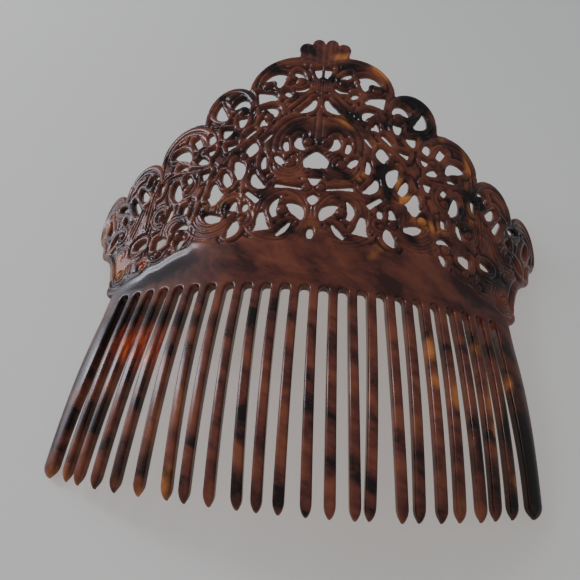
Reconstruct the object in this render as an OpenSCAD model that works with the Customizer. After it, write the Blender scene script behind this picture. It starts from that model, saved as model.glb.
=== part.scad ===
// Mantilla comb: one curved sheet with 24 teeth, a plain heading bar and a pierced, scalloped gallery.
// It lies on a surface with its convex side up, on its two outer teeth and the two ends of its gallery.
// Distances on the sheet are given as across (round the arch from its middle) and up (from the slots' ends
// towards the gallery; the teeth have negative values).

/* [Arch] */
// Outside radius of the arch at the gallery, mm
gallery_radius = 136.5; // [130:0.5:145]
// Radius on which distances round the arch are measured, mm
pattern_radius = 140; // [136:0.5:145]
// How much less the arch turns near its ends, as a share at 100 mm from the middle
end_easing = 0.046; // [0:0.002:0.06]
// Outward lean of the crest line where the teeth begin, degrees
flare = 12; // [8:0.5:14]
// Outward lean of the crest line at the tips, degrees
tip_flare = 0.6; // [0:0.1:3]

/* [Thickness] */
// Thickness of the pierced gallery, mm
gallery_thickness = 3.2; // [2.6:0.1:4]
// Thickness of the heading bar and the roots of the teeth, mm
heading_thickness = 4.4; // [3.6:0.1:5]
// Thickness of the teeth near their tips, mm
tip_thickness = 3.2; // [2.6:0.1:4]
// Height of the raised eyes of the scrolls, mm
eye_height = 0.5; // [0.3:0.1:0.8]

/* [Teeth] */
// Number of teeth
tooth_count = 24; // [24:1:24]
// Distance from one tooth to the next, mm
tooth_pitch = 7; // [6.8:0.05:7.2]
// Width of an ordinary tooth, mm
tooth_width = 3.3; // [2.8:0.1:3.8]
// Length of the middle teeth, mm
tooth_length = 80; // [70:1:84]
// How much shorter the teeth are at 80 mm from the middle, mm
end_shortening = 8; // [4:1:10]
// Distance from the middle to the outer edge of the two guard teeth, mm
guard_edge = 87.8; // [86:0.1:90]
// Width of a guard tooth where it begins, mm
guard_width = 8; // [7:0.1:9]
// Width of a guard tooth near its tip, mm
guard_tip_width = 6; // [5:0.1:7]
// How far the slots' ends slope towards the tips across the thickness, mm
slot_slope = 2; // [1:0.5:3]

/* [Rest] */
// Angle by which the crest line rises from the teeth to the gallery when the comb lies down, degrees
rest_tilt = 14.5; // [8:0.1:16]
// Distance from the arch's axis down to the surface, mm, as a negative height
rest_drop = -98.6; // [-110:0.1:-90]
// Distance that brings the middle of the comb's length to the origin, mm
rest_slide = 10.8; // [5:0.1:14]

/* [Hidden] */

// Stations of the crest line: the gallery's top, the two ends of the first bend, and the end of the second
gallery_top = 131;
bend_start = 30;
bend_middle = -10;
bend_end = -82;
// Top of the heading bar, and the stretch over which the sheet then thins
heading_height = 16;
thinning = 8;
// How far the cutting shapes start inside the gallery's radius, and their height
cut_depth = 14;
cut_height = 34;
// How far the heading's ring passes the gallery's radius on both sides
ring_margin = 12;
// Height inside the heading to which the lobes and the teeth reach
lobe_foot = 8;
tooth_foot = 6;
// Sides of the gallery under its ends, and the height of the two end lobes' feet
flank_limit = 94;
flank_foot = 24;
// Facets of the arch, and the largest distance across
arch_facets = 180;
arch_end = 128;

// How full the leaf-shaped openings are, and how late a tooth's lean sets in
fullness = 1.6;
lean_power = 1.6;
// Facets of the rounds of the shell and of the raised eyes
shell_facets = 20;
eye_facets = 24;

// Heights at which the sheet's profile has its corners
PROFILE = [
    gallery_top, bend_start, 24, 20, 16, 10, 5, 0, -5, -10, -18, -26, -34, -42, -50, -58, -66, -74, bend_end
];

// Sideways lean of each tip, mm, from the left: an old comb's teeth are no longer quite parallel
TIP_LEAN = [
    -0.5, -1, -2, -1, 0, 2, 4.5, 3, 3.5, 4.5, 3, 2, 2.5, 2, 2, -1, 1.5, -0.5, -0.5, -1.5, -1, -2.5, -2.5, -3
];

// Rounded tip of a tooth: columns: distance from the tip, share of the half width
TIP = [[7, 1], [3, 0.85], [1, 0.55], [0, 0.25]];

// Lobes of the scalloped edge on the right half: middle and half sizes of each ellipse, mm
// columns: across, up, half_width, half_height
LOBES = [
    [11.8, 101, 22, 17.6],
    [41.8, 88.6, 13.3, 14.5],
    [60.6, 68.9, 17.2, 16.6],
    [87.5, 56.3, 14.6, 14.8]
];
END_LOBE = [111.3, 47.4, 12.8, 13.8];

// Side of the gallery's end, from the heading up to the end lobe, and back through its inside
FLANK = [
    [88, 2], [91.5, 2.6], [93.8, 4.4], [94.6, 7], [95.6, 11], [98.2, 17], [102, 21.8], [107, 25],
    [111, 26.6], [113.2, 28.6], [113.6, 31], [115, 34], [120.8, 41.5], [111, 47], [88, 56], [74, 48], [74, 2]
];

// Rounds of the small shell at the top: columns: across, up, radius
SHELL = [[3.1, 126.6, 3.1], [8.5, 123.8, 3.5]];
// Its blocks between the rounds and the top lobe: columns: half_width, top
SHELL_BLOCKS = [[11.4, 124], [6, 126.8]];

// Openings on the middle line
// columns: from_across, from_up, to_across, to_up, bulge, width_from, width_middle, width_to, peak
MIDDLE_CUTS = [
    [0, 21.4, 0, 26, 0, 1, 2.2, 1, 0.5],
    [0, 37.2, 0, 42.2, 0, 0.6, 4.3, 0.6, 0.6],
    [0, 46.8, 0, 50.4, 0, 0.6, 3.2, 6.4, 0.5],
    [0, 55.4, 0, 64.3, 0, 8.6, 10.4, 0.6, 0.42]
];

// Openings of the right half; the left half is its mirror image. Each is a leaf along an arc from one end to
// the other. bulge is the arc's height, to the left of its direction, and peak is where the leaf is widest.
// columns: from_across, from_up, to_across, to_up, bulge, width_from, width_middle, width_to, peak
CUTS = [
    // round the two large swirls at the foot of the gallery
    [4.1, 30, 10.4, 36.8, 1.6, 0.6, 4.6, 1.8, 0.5],
    [14.8, 31.4, 14, 40, -1.4, 1.2, 2.6, 0.6, 0.5],
    [8.5, 28.6, 13.2, 22.6, -0.4, 0.6, 2.1, 1.4, 0.6],
    [20.8, 33.6, 19.9, 25, 0, 1.2, 3.4, 6.8, 0.5],
    [5.4, 44.8, 16, 46.2, 0.2, 1.2, 0.9, 2.2, 0.4],
    [22.6, 38.6, 28.5, 43.7, 0, 2.2, 1.7, 1.2, 0.5],
    [31.6, 30, 33.8, 22.2, -1, 1.2, 4.6, 0.8, 0.5],
    [27.6, 34.2, 28, 37.8, 0, 1, 2.2, 1, 0.5],
    [32.6, 39.4, 33.4, 35, 0, 0.8, 2.4, 3.6, 0.5],
    [38.2, 31.2, 45.8, 34.2, -0.9, 2.4, 3.8, 1.2, 0.5],
    // between the swirls and the pointed arch
    [20.4, 45.3, 26.1, 52.8, -1.6, 0.8, 3.4, 0.8, 0.5],
    [36.2, 47.2, 39.8, 54.8, -0.3, 1.8, 3, 0.6, 0.5],
    [44.3, 49.7, 42.5, 42.6, 0, 0.6, 3.8, 7.6, 0.5],
    [42.5, 43, 42.4, 38.5, 0, 7.7, 5, 1, 0.3],
    [32, 50.2, 35.4, 60.3, 1, 1.4, 4.8, 0.6, 0.5],
    [21.8, 54.9, 22.1, 61.5, -0.4, 1.2, 1.7, 0.6, 0.4],
    // inside the pointed arch
    [4.9, 64.8, 7.8, 71.5, -1.9, 0.6, 2.9, 1.2, 0.5],
    [12.7, 64, 13.6, 69.4, -0.3, 0.8, 1.9, 0.8, 0.5],
    [14.1, 57, 17.5, 61.8, 0, 1.6, 2.5, 0.8, 0.5],
    [2.6, 93, 9.3, 85, -1.7, 0.8, 3.6, 0.6, 0.55],
    // under the shell and the top lobe
    [2.5, 111.3, 1.7, 105.8, 0, 3.3, 2.4, 0.8, 0.4],
    [8.6, 105, 12.9, 108.8, 0.3, 0.6, 2.4, 1.6, 0.6],
    [17.7, 105.6, 26.8, 104.8, 1.7, 5, 4.8, 0.8, 0.3],
    [19.2, 105, 19.7, 100.4, 0, 4.4, 2.8, 0.8, 0.5],
    [5.8, 100.2, 11.8, 98.2, -1.1, 0.6, 2, 1.4, 0.5],
    [13.6, 94.4, 16.2, 97.5, 0, 1.4, 2.4, 1.2, 0.5],
    [20, 93.2, 28.6, 94.7, 0.8, 0.6, 4.8, 7.4, 0.5],
    [19.9, 83, 24.2, 88.2, 1.6, 0.8, 3, 0.8, 0.5],
    [24.9, 82.8, 24.8, 78.2, 0, 0.6, 2.6, 3.6, 0.5],
    // down the outside of the pointed arch
    [28.2, 76, 32.6, 72, 0, 1.9, 2, 0.8, 0.5],
    [20.3, 73.4, 23.5, 69, 0, 1.2, 1.4, 0.6, 0.5],
    [28.1, 69.6, 28.7, 61.9, 0, 0.8, 5.4, 0.8, 0.5],
    [35.8, 69.3, 40, 67.7, 0, 0.6, 1.9, 3.2, 0.5],
    // second lobe and below
    [33, 89.8, 40, 90.2, 3.2, 0.8, 4, 2.4, 0.6],
    [43.2, 84.6, 47.9, 94.4, -2, 1.2, 4.4, 0.6, 0.45],
    [35.1, 84.1, 34.7, 78.7, 0, 3.8, 3.6, 0.8, 0.35],
    [41.4, 78.4, 42.2, 73.8, 0, 5.4, 4.4, 0.8, 0.35],
    [48.2, 72, 50.7, 77.2, 0, 2.6, 3, 1.2, 0.5],
    [54.8, 71, 58.4, 77, 0, 1.4, 2.6, 3, 0.5],
    [48.4, 68.7, 47.8, 65.5, 0, 3.8, 2.8, 0.8, 0.4],
    [49.3, 61.2, 54.4, 64.6, -0.3, 0.8, 3, 1.6, 0.6],
    // third lobe and below
    [59.4, 64.6, 69.8, 69.8, 2, 0.8, 5.4, 2.2, 0.55],
    [59.8, 60.7, 65.1, 61.4, 0.6, 0.6, 1.9, 1.2, 0.5],
    [49.2, 56.3, 49, 52.3, 0, 4.3, 2.9, 0.8, 0.4],
    [56.4, 52.4, 59.1, 56, 0, 1.2, 1.9, 1, 0.5],
    [60.1, 44.2, 64.1, 53.6, -1.2, 1.6, 4.1, 1.6, 0.5],
    [73.7, 55.8, 73.7, 49.4, 0, 3.4, 2.7, 0.6, 0.3],
    [56.6, 36.3, 56.7, 40.5, 0, 1.7, 2.2, 1.7, 0.5],
    [64.9, 40.6, 66.2, 34, -0.6, 1.4, 3.3, 1.4, 0.65],
    [53.2, 28.5, 59.8, 28.4, 1.7, 0.6, 2.3, 1.5, 0.6],
    [55.8, 24, 55.9, 18.8, 0, 1, 3.7, 0.8, 0.35],
    [63.8, 24.2, 70, 23.9, 0, 2, 5.4, 4.4, 0.6],
    [76, 25.5, 82.4, 25, 0, 2.9, 3.3, 0.8, 0.4],
    // fourth lobe, end lobe and the gallery's ends
    [77.8, 60.6, 82.4, 57.6, 2.2, 1, 3.1, 1.4, 0.5],
    [81.7, 50.3, 89, 57, -0.8, 1.6, 3.5, 0.6, 0.5],
    [86.7, 44.2, 93.5, 52.8, 0, 2.6, 2.4, 1, 0.4],
    [98.4, 49.1, 105, 51.1, 0.5, 0.8, 2.7, 1.2, 0.5],
    [95, 40.7, 97.6, 43.6, 0, 1, 1.9, 1.2, 0.5],
    [108.6, 39.5, 112.8, 47, -0.6, 1, 2.6, 0.8, 0.5],
    [99.8, 35.8, 104.6, 31, 0.4, 0.8, 2.4, 0.8, 0.5]
];

// Raised eyes of the scrolls on the right half: columns: across, up, radius
EYES = [
    [12.2, 34.4, 2], [2.9, 45.3, 1.8], [4.2, 69, 1.8], [10.8, 57.6, 2], [23.4, 84.2, 1.6],
    [10, 103.2, 1.8], [25.8, 101.4, 1.8], [36, 87.6, 1.8], [54.8, 27.2, 1.8], [57.2, 48.5, 1.8],
    [66.4, 18, 1.8], [79, 58.4, 1.6], [94.8, 33.2, 1.9], [69.4, 37.2, 1.8], [88, 12.4, 1.8]
];
// Difference in radius between the foot or the top of a raised eye and the radius in the table, mm
eye_foot = 0.5;
eye_slope = 0.3;

// The crest line is straight in the gallery, bends out to the flare and back to the tips, in two arcs
bend_radius = (bend_start - bend_middle) / flare * 180 / PI;
bow_radius = (bend_middle - bend_end) / (flare - tip_flare) * 180 / PI;

function lean(up) =
    up > bend_start ? 0
    : up > bend_middle ? flare * (bend_start - up) / (bend_start - bend_middle)
    : flare - (flare - tip_flare) * (bend_middle - up) / (bend_middle - bend_end);
function crest_y(up) =
    up > bend_start ? up
    : up >= bend_middle ? bend_start - bend_radius * sin(lean(up))
    : crest_y(bend_middle) - bow_radius * (sin(flare) - sin(lean(up)));
function crest_r(up) =
    up > bend_start ? gallery_radius
    : up >= bend_middle ? gallery_radius + bend_radius * (1 - cos(lean(up)))
    : crest_r(bend_middle) + bow_radius * (cos(lean(up)) - cos(flare));
function thickness(up) =
    up > heading_height + thinning ? gallery_thickness
    : up > heading_height ? heading_thickness
        + (gallery_thickness - heading_thickness) * (up - heading_height) / thinning
    : up > bend_middle ? heading_thickness
    : heading_thickness
        + (tip_thickness - heading_thickness) * (bend_middle - up) / (bend_middle - bend_end);

// Angle round the arch, in degrees, of a distance across
function turn(across) = across / pattern_radius * (1 - end_easing * pow(across / 100, 2)) * 180 / PI;

// A point of the pattern, as seen along the radius through its piece's middle
function seen(point, middle, radius) =
    [radius * sin(turn(point.x) - turn(middle)), crest_y(point.y)];

// Width of a leaf at a share u of its length
function leaf_width(row, u) =
    let(x = u < row[8] ? u / row[8] : (1 - u) / (1 - row[8]), end = u < row[8] ? row[5] : row[7])
    end + (row[6] - end) * (1 - pow(1 - x, fullness));

// Outline of a leaf: its left side from end to end, and its right side back
function leaf_side(row, u, side) =
    let(a = [row[0], row[1]], b = [row[2], row[3]], along = (b - a) / norm(b - a),
        left = [-along.y, along.x], slope = 4 * row[4] * (1 - 2 * u) / norm(b - a),
        normal = [-along.y - slope * along.x, along.x - slope * along.y] / sqrt(1 + slope * slope))
    a + (b - a) * u + left * 4 * row[4] * u * (1 - u) + normal * side * leaf_width(row, u) / 2;
leaf_steps = [0, 0.18, 0.36, 0.54, 0.76, 1];
function leaf(row) = concat(
    [for (u = leaf_steps) leaf_side(row, u, 1)],
    [for (k = [len(leaf_steps) - 1 : -1 : 0]) leaf_side(row, leaf_steps[k], -1)]);

function mirrored(points) = [for (p = points) [-p.x, p.y]];
function ellipse(row, from, to, step) =
    [for (a = [from : step : to]) [row[0] + row[2] * cos(a), row[1] + row[3] * sin(a)]];

// A flat shape cut through the sheet along the radius at a distance across
module cut_at(across, points) {
    middle_up = points[floor(len(points) / 4)].y;
    radius = crest_r(middle_up);
    rotate([0, turn(across), 0])
        translate([0, 0, gallery_radius - cut_depth])
            linear_extrude(cut_height)
                polygon([for (p = points) seen(p, across, radius)]);
}

// A ring round the arch with the given half section, as far as the given distance across on both sides
module arch_ring(end, section) {
    span = turn(end);
    rotate([90, 0, 0])
        rotate([0, 0, 90 - span])
            rotate_extrude(angle = 2 * span, $fn = arch_facets)
                polygon(section);
}

// The whole curved sheet, from the tips to the top of the gallery
module sheet() {
    face = [for (up = PROFILE) [crest_r(up), -crest_y(up)]];
    back = [for (k = [len(PROFILE) - 1 : -1 : 0]) let(up = PROFILE[k])
        [crest_r(up) - thickness(up) * cos(lean(up)), -crest_y(up) + thickness(up) * sin(lean(up))]];
    arch_ring(arch_end, concat(face, back));
}

// Ring that the heading bar is cut from; its lower edge slopes, which makes the sloping ends of the slots
module heading_ring() {
    outer = gallery_radius + ring_margin;
    inner = gallery_radius - ring_margin;
    middle = crest_r(0);
    slope = slot_slope / heading_thickness;
    arch_ring(guard_edge, [
        [outer, -heading_height], [outer, -(outer - middle) * slope],
        [inner, (middle - inner) * slope], [inner, -heading_height]
    ]);
}

// One half of the scalloped outline, as overlapping pieces
module scallops(side) {
    for (row = LOBES) {
        right = row[0] + row[2];
        points = concat(
            ellipse(row, 0, 180, 12),
            [
                [row[0] - row[2], lobe_foot], [min(right, flank_limit), lobe_foot],
                [right, right < flank_limit ? lobe_foot : flank_foot]
            ]);
        cut_at(side * row[0], side > 0 ? points : mirrored(points));
    }
    end_points = ellipse(END_LOBE, -90, 250, 20);
    cut_at(side * END_LOBE[0], side > 0 ? end_points : mirrored(end_points));
    cut_at(side * flank_limit, side > 0 ? FLANK : mirrored(FLANK));
}

// The small ribbed shell on top
module shell_outline() {
    base = LOBES[0][1];
    translate([0, 0, gallery_radius - cut_depth])
        linear_extrude(cut_height)
            offset(delta = 0.01) {
                for (side = [-1, 1], row = SHELL)
                    translate([side * row[0], row[1]]) circle(row[2], $fn = shell_facets);
                for (row = SHELL_BLOCKS)
                    translate([-row[0], base]) square([2 * row[0], row[1] - base]);
            }
}

// Outline of one tooth, from inside the heading to its rounded tip
module tooth(number) {
    guard = number == 0 || number == tooth_count - 1;
    side = number == 0 ? -1 : 1;
    place = (number - (tooth_count - 1) / 2) * tooth_pitch;
    middle = guard ? side * (guard_edge - guard_width / 2) : place;
    half_root = (guard ? guard_width : tooth_width) / 2;
    half_tip = (guard ? guard_tip_width : tooth_width) / 2;
    length = tooth_length - end_shortening * pow(place / 80, 2);
    // columns: up, half_width
    sections = concat(
        [[tooth_foot, half_root], [-length * 0.3, half_root], [-length * 0.6, (half_root + half_tip) / 2]],
        [for (row = TIP) [row[0] - length, half_tip * row[1]]]);
    function drift(up) = TIP_LEAN[number] * pow(max(-up, 0) / length, lean_power);
    points = concat(
        [for (s = sections) [middle + drift(s[0]) + s[1], s[0]]],
        [for (k = [len(sections) - 1 : -1 : 0]) let(s = sections[k]) [middle + drift(s[0]) - s[1], s[0]]]);
    cut_at(middle, points);
}

module eye(row, side) {
    rotate([0, turn(side * row[0]), 0])
        translate([0, crest_y(row[1]), crest_r(row[1]) - gallery_thickness / 2])
            cylinder(h = gallery_thickness / 2 + eye_height, r1 = row[2] + eye_foot, r2 = row[2] - eye_slope,
                $fn = eye_facets);
}

// The comb, with the arch's axis along Y and its crest at the top
module comb_upright() {
    difference() {
        union() {
            intersection() {
                sheet();
                union() {
                    heading_ring();
                    for (side = [-1, 1]) scallops(side);
                    shell_outline();
                    for (number = [0 : tooth_count - 1]) tooth(number);
                }
            }
            for (side = [-1, 1], row = EYES) eye(row, side);
        }
        for (row = MIDDLE_CUTS) cut_at(0, leaf(row));
        for (row = CUTS) {
            across = (row[0] + row[2]) / 2;
            cut_at(across, leaf(row));
            cut_at(-across, mirrored(leaf(row)));
        }
    }
}

module comb() {
    color("saddlebrown")
        translate([0, rest_slide, rest_drop])
            rotate([rest_tilt, 0, 0])
                comb_upright();
}

comb();
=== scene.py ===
"""Dressed model of a mantilla comb: carved gallery, heading and teeth of polished imitation tortoiseshell."""

import math
from collections import namedtuple

import bpy
import numpy as np
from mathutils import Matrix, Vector


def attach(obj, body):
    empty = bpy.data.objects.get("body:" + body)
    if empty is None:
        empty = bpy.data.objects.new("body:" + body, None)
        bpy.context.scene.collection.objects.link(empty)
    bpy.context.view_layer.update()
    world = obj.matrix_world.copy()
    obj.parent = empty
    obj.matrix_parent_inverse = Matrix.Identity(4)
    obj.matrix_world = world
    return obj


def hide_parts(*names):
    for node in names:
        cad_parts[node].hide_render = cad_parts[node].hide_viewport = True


bl_info = {
    "name": "Mantilla comb",
    "version": (1, 0, 0),
    "blender": (4, 5, 0),
    "location": "View3D > Sidebar > Comb",
    "description": "Builds the carved gallery, the heading with its teeth, and a plain stage",
    "category": "Object",
}

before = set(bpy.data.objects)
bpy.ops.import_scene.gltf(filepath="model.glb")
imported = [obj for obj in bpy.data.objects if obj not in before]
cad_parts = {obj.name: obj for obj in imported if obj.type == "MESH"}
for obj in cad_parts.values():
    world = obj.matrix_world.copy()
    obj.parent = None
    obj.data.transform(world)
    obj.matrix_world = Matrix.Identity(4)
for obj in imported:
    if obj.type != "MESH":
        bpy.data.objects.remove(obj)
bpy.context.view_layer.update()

MM = 0.001

# Sizes of the sheet in millimetres, the same as the frame's. Across is measured round the arch from its
# middle at PATTERN_RADIUS, eased towards the ends, and up from the slots' ends towards the gallery.
GALLERY_RADIUS = 136.5
PATTERN_RADIUS = 140
END_EASING = 0.046
# Outward lean in degrees at the bend's middle and at the tips
FLARE = 12
TIP_FLARE = 0.6
BEND_START = 30
BEND_MIDDLE = -10
BEND_END = -82
GALLERY_THICKNESS = 3.2
HEADING_THICKNESS = 4.4
TIP_THICKNESS = 3.2
HEADING_HEIGHT = 16
THINNING = 8
# How the comb lies: its tilt in degrees, and its shifts
REST_TILT = 14.5
REST_SLIDE = 10.8
REST_DROP = -98.6

# Teeth from left to right; one that stands 80 to the side is shorter by END_SHORTENING
TOOTH_COUNT = 24
TOOTH_PITCH = 7
TOOTH_WIDTH = 3.3
TOOTH_LENGTH = 80
END_SHORTENING = 8
GUARD_EDGE = 87.8
GUARD_WIDTH = 8
GUARD_TIP_WIDTH = 6
TAPER = 4.2
SLOT_ROUNDING = 1.6
TIP_LEAN = np.array([
    -0.5, -1, -2, -1, 0, 2, 4.5, 3, 3.5, 4.5, 3, 2, 2.5, 2, 2, -1, 1.5, -0.5, -0.5, -1.5, -1, -2.5, -2.5, -3
])
NUMBERS = np.arange(TOOTH_COUNT)
PLACES = (NUMBERS - (TOOTH_COUNT - 1) / 2) * TOOTH_PITCH
GUARDS = np.isin(NUMBERS, (0, TOOTH_COUNT - 1))
LENGTHS = TOOTH_LENGTH - END_SHORTENING * (PLACES / 80) ** 2
MIDDLES = np.where(GUARDS, np.sign(PLACES) * (GUARD_EDGE - GUARD_WIDTH / 2), PLACES)
ROOTS = np.where(GUARDS, GUARD_WIDTH, TOOTH_WIDTH) / 2
TIPS = np.where(GUARDS, GUARD_TIP_WIDTH, TOOTH_WIDTH) / 2
# How much a tooth's front falls towards its edges, as a share of its half width, and how much its front and
# its back fall towards its point
SWELL = 0.09
FRONT_POINT = 1.3
BACK_POINT = 1.1
# Columns of the teeth's mesh from edge to middle and over a slot, rows of the heading, all as shares, then
# the even rows of a tooth, the share of its length that they take up, and the last rows' distances from the tip
COLUMNS = [0, 0.12, 0.32, 0.62, 1]
GUARD_COLUMNS = [0, 0.05, 0.13, 0.25, 0.42, 0.66, 1]
SLOT_COLUMNS = [0.1, 0.28, 0.5, 0.72, 0.9]
HEADING_ROWS = [1, 0.8, 0.62, 0.46, 0.32, 0.2, 0.09, 0]
EVEN_ROWS = 58
EVEN_SHARE = 0.9
TIP_ROWS = [6.2, 4.8, 3.6, 2.6, 1.8, 1.1, 0.6, 0.25, 0.06]

# Heights at which the gallery's lower meshes and its upper ones begin
SEAM = 2
CROWN_FOOT = 40
# How much wider the openings are carved than the plain solid's, on each side, in bars broad enough for it
WIDER = 0.3
# The gallery's grid: its width from the middle, its height, its points past the middle and the foot, the
# furthest distance worked out, and the greatest half width of a bar. Last, the rows of faces in a wall.
GRID_WIDTH = 125
GRID_HEIGHT = 129
MARGIN = 8
FAR = 9.0
WIDEST_HALF = 7
WALL_ROWS = 3

# Strands: how much broader and lower they are at the gallery's ends, how much lower every second one of a
# swirl is, and the length of their points, in degrees in a swirl and in millimetres elsewhere
END_BROADER = 0.35
END_LOWER = 0.4
SECOND_LOWER = 0.14
SWIRL_POINT = 16
STRAND_POINT = 2.5
# Heights of broad places and of the shell, as shares of the strands', the depth of the heading's hollow, an
# eye's rise above the face, its moat's depth as a share of the grooves', and its width
MOUND = 0.92
SHELL_LEVEL = 0.72
HOLLOW = 0.36
EYE_RISE = 0.45
MOAT = 0.55
MOAT_WIDTH = 0.6
# Blur that wears the carving, share of the front edge's rounding that is cut, and the back edge's radius
SOFTNESS = 0.25
FRONT_EDGE = 0.9
BACK_EDGE = 1.2

CELLULOID = "Polished imitation-tortoiseshell celluloid"
# Sockets of a colour Mix node: the colour below, the colour above, and the result
UNDER, OVER, MIXED = 6, 7, 2

# Stage: a floor in metres, the world, and lamps for the walls and windows round the comb
FLOOR_SIZE = 5
FLOOR_COLOUR = "#C6D0D1"
FLOOR_ROUGHNESS = 0.7
WORLD_COLOUR = "#B4CBD8"
WORLD_STRENGTH = 0.34
# name, azimuth from straight behind the comb, elevation, distance, sizes, power, colour, and whether its
# light also falls in shadow and leaves no reflection, as light from all over a pale room does
LAMPS = (
    ("window", -68, 30, 1.3, (0.16, 0.8), 4.6, "#F2F4FF", False),
    ("bright wall", -70, 5, 1.3, (0.5, 0.5), 2.0, "#F4EEFF", False),
    ("wall beside it", -68, 24, 1.3, (0.95, 1.2), 0.9, "#F0ECFF", False),
    ("daylight", -48, 36, 1.4, (1, 1), 10.6, "#FFE6DC", True),
    ("room", 172, 56, 1.45, (1, 1), 11.3, "#FFE2D6", True),
)
# Camera: lens and sensor in millimetres, shifts as shares of the picture, place in metres, turn in degrees
LENS = 36.355
SENSOR_WIDTH = 36
CAMERA_SHIFT = -0.0011, 0.0129
CAMERA_PLACE = 0.00881, -0.16558, 0.18871
CAMERA_TURN = 41.539, 0.298, 5.267

# Lobes of the scalloped edge on the right half: across, up, half_width, half_height
LOBES = [
    [11.8, 101, 22, 17.6], [41.8, 88.6, 13.3, 14.5], [60.6, 68.9, 17.2, 16.6], [87.5, 56.3, 14.6, 14.8],
]
END_LOBE = [111.3, 47.4, 12.8, 13.8]
FLANK = [
    [88, 2], [91.5, 2.6], [93.8, 4.4], [94.6, 7], [95.6, 11], [98.2, 17], [102, 21.8], [107, 25], [111, 26.6],
    [113.2, 28.6], [113.6, 31], [115, 34], [120.8, 41.5], [111, 47], [88, 56], [74, 48], [74, 2],
]
FLANK_LIMIT = 94
# Rounds of the shell: across, up, radius. Its blocks: half_width, top
SHELL = [[3.18, 126.6, 3.1], [8.72, 123.8, 3.5]]
SHELL_BLOCKS = [[11.69, 124], [6.15, 126.8]]

# Openings on the middle line
# from_across, from_up, to_across, to_up, bulge, width_from, width_middle, width_to, peak
MIDDLE_CUTS = [
    [0, 21.4, 0, 26, 0, 1, 2.2, 1, 0.5], [0, 37.2, 0, 42.2, 0, 0.6, 4.3, 0.6, 0.6],
    [0, 46.8, 0, 50.4, 0, 0.6, 3.2, 6.4, 0.5], [0, 55.4, 0, 64.3, 0, 8.6, 10.4, 0.6, 0.42],
]

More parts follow.
